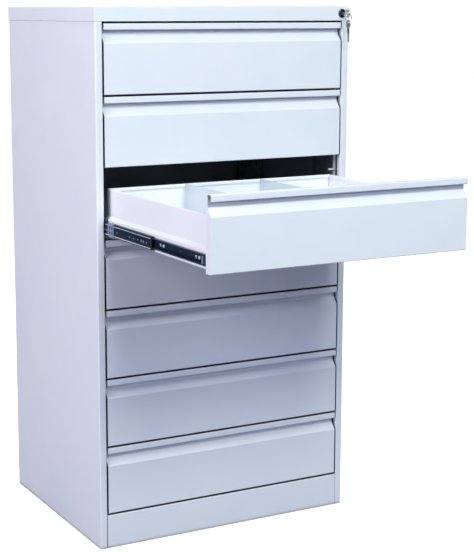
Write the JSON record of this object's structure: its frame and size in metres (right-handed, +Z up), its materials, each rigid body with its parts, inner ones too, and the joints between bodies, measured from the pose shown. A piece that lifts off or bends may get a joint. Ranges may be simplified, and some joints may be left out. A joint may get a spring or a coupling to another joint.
{
  "type": "card file cabinet",
  "caption": "Tall steel card-index cabinet with sliding drawers, card dividers, full-extension slides, a folded lid, a plinth and a key lock; one drawer stands open.",
  "frame": {"origin": "middle of the floor pan's underside, on the floor", "axes": "+X to the right seen from the front, +Y towards the back, +Z up; drawers open along -Y"},
  "size_m": [0.713, 1.0925, 1.33],
  "materials": {
    "cabinet_paint": "fine-textured pale grey powder coat, semi-matt",
    "tray_paint": "smooth off-white powder coat, semi-matt",
    "slide_zinc": "blue-black zinc plate on rolled steel",
    "lock_chrome": "polished chrome plate",
    "key_steel": "nickel-plated keys and ring, lightly worn"
  },
  "bodies": {
    "root": {"top_cap": "cabinet_paint", "back_panel": "cabinet_paint", "base_pan": "cabinet_paint", "side_panel_left": "cabinet_paint", "side_panel_right": "cabinet_paint", "slide_rack_left": "slide_zinc", "slide_rack_right": "slide_zinc", "lock_barrel": "lock_chrome"},
    "drawer_1": {"drawer_1_front": "cabinet_paint", "drawer_1_tray": "tray_paint", "drawer_1_dividers": "tray_paint", "drawer_1_slide_inner_left": "slide_zinc", "drawer_1_slide_inner_right": "slide_zinc"},
    "slide_mids_1": {"drawer_1_slide_mid_left": "slide_zinc", "drawer_1_slide_mid_right": "slide_zinc"},
    "drawer_2": {"drawer_2_front": "cabinet_paint", "drawer_2_tray": "tray_paint", "drawer_2_dividers": "tray_paint", "drawer_2_slide_inner_left": "slide_zinc", "drawer_2_slide_inner_right": "slide_zinc"},
    "slide_mids_2": {"drawer_2_slide_mid_left": "slide_zinc", "drawer_2_slide_mid_right": "slide_zinc"},
    "drawer_3": {"drawer_3_front": "cabinet_paint", "drawer_3_tray": "tray_paint", "drawer_3_dividers": "tray_paint", "drawer_3_slide_inner_left": "slide_zinc", "drawer_3_slide_inner_right": "slide_zinc"},
    "slide_mids_3": {"drawer_3_slide_mid_left": "slide_zinc", "drawer_3_slide_mid_right": "slide_zinc"},
    "drawer_4": {"drawer_4_front": "cabinet_paint", "drawer_4_tray": "tray_paint", "drawer_4_dividers": "tray_paint", "drawer_4_slide_inner_left": "slide_zinc", "drawer_4_slide_inner_right": "slide_zinc"},
    "slide_mids_4": {"drawer_4_slide_mid_left": "slide_zinc", "drawer_4_slide_mid_right": "slide_zinc"},
    "drawer_5": {"drawer_5_front": "cabinet_paint", "drawer_5_tray": "tray_paint", "drawer_5_dividers": "tray_paint", "drawer_5_slide_inner_left": "slide_zinc", "drawer_5_slide_inner_right": "slide_zinc"},
    "slide_mids_5": {"drawer_5_slide_mid_left": "slide_zinc", "drawer_5_slide_mid_right": "slide_zinc"},
    "drawer_6": {"drawer_6_front": "cabinet_paint", "drawer_6_tray": "tray_paint", "drawer_6_dividers": "tray_paint", "drawer_6_slide_inner_left": "slide_zinc", "drawer_6_slide_inner_right": "slide_zinc"},
    "slide_mids_6": {"drawer_6_slide_mid_left": "slide_zinc", "drawer_6_slide_mid_right": "slide_zinc"},
    "drawer_7": {"drawer_7_front": "cabinet_paint", "drawer_7_tray": "tray_paint", "drawer_7_dividers": "tray_paint", "drawer_7_slide_inner_left": "slide_zinc", "drawer_7_slide_inner_right": "slide_zinc"},
    "slide_mids_7": {"drawer_7_slide_mid_left": "slide_zinc", "drawer_7_slide_mid_right": "slide_zinc"},
    "lock_bar": {"lock_bar": "tray_paint"},
    "key": {"key_and_plug": "key_steel"},
    "key_bunch": {"key_bunch": "key_steel"}
  },
  "joints": [
    {"name": "drawer_1_slide", "type": "slide", "parent": "root", "child": "drawer_1", "axis": [0, -1, 0], "range_m": [0, 0.526]},
    {"name": "slide_mids_1_slide", "type": "slide", "parent": "root", "child": "slide_mids_1", "axis": [0, -1, 0], "range_m": [0, 0.27352]},
    {"name": "drawer_2_slide", "type": "slide", "parent": "root", "child": "drawer_2", "axis": [0, -1, 0], "range_m": [0, 0.526]},
    {"name": "slide_mids_2_slide", "type": "slide", "parent": "root", "child": "slide_mids_2", "axis": [0, -1, 0], "range_m": [0, 0.27352]},
    {"name": "drawer_3_slide", "type": "slide", "parent": "root", "child": "drawer_3", "axis": [0, -1, 0], "range_m": [-0.526, 0]},
    {"name": "slide_mids_3_slide", "type": "slide", "parent": "root", "child": "slide_mids_3", "axis": [0, -1, 0], "range_m": [-0.27352, 0]},
    {"name": "drawer_4_slide", "type": "slide", "parent": "root", "child": "drawer_4", "axis": [0, -1, 0], "range_m": [0, 0.526]},
    {"name": "slide_mids_4_slide", "type": "slide", "parent": "root", "child": "slide_mids_4", "axis": [0, -1, 0], "range_m": [0, 0.27352]},
    {"name": "drawer_5_slide", "type": "slide", "parent": "root", "child": "drawer_5", "axis": [0, -1, 0], "range_m": [0, 0.526]},
    {"name": "slide_mids_5_slide", "type": "slide", "parent": "root", "child": "slide_mids_5", "axis": [0, -1, 0], "range_m": [0, 0.27352]},
    {"name": "drawer_6_slide", "type": "slide", "parent": "root", "child": "drawer_6", "axis": [0, -1, 0], "range_m": [0, 0.526]},
    {"name": "slide_mids_6_slide", "type": "slide", "parent": "root", "child": "slide_mids_6", "axis": [0, -1, 0], "range_m": [0, 0.27352]},
    {"name": "drawer_7_slide", "type": "slide", "parent": "root", "child": "drawer_7", "axis": [0, -1, 0], "range_m": [0, 0.526]},
    {"name": "slide_mids_7_slide", "type": "slide", "parent": "root", "child": "slide_mids_7", "axis": [0, -1, 0], "range_m": [0, 0.27352]},
    {"name": "lock_bar_slide", "type": "slide", "parent": "root", "child": "lock_bar", "axis": [0, 0, -1], "range_m": [0, 0.008]},
    {"name": "key_turn", "type": "hinge", "parent": "root", "child": "key", "pos_m": [0.335, -0.2825, 1.3123], "axis": [0, -1, 0], "range_deg": [0, 90.2]},
    {"name": "key_bunch_swing", "type": "hinge", "parent": "key", "child": "key_bunch", "pos_m": [0.335, -0.312, 1.3105], "axis": [1, 0, 0], "range_deg": [-50, 15]}
  ],
  "couplings": [
    {"joint": "slide_mids_1_slide", "follows": "drawer_1_slide", "ratio": 0.52},
    {"joint": "slide_mids_2_slide", "follows": "drawer_2_slide", "ratio": 0.52},
    {"joint": "slide_mids_3_slide", "follows": "drawer_3_slide", "ratio": 0.52},
    {"joint": "slide_mids_4_slide", "follows": "drawer_4_slide", "ratio": 0.52},
    {"joint": "slide_mids_5_slide", "follows": "drawer_5_slide", "ratio": 0.52},
    {"joint": "slide_mids_6_slide", "follows": "drawer_6_slide", "ratio": 0.52},
    {"joint": "slide_mids_7_slide", "follows": "drawer_7_slide", "ratio": 0.52},
    {"joint": "key_turn", "follows": "lock_bar_slide", "rad_per_m": 196.3}
  ]
}
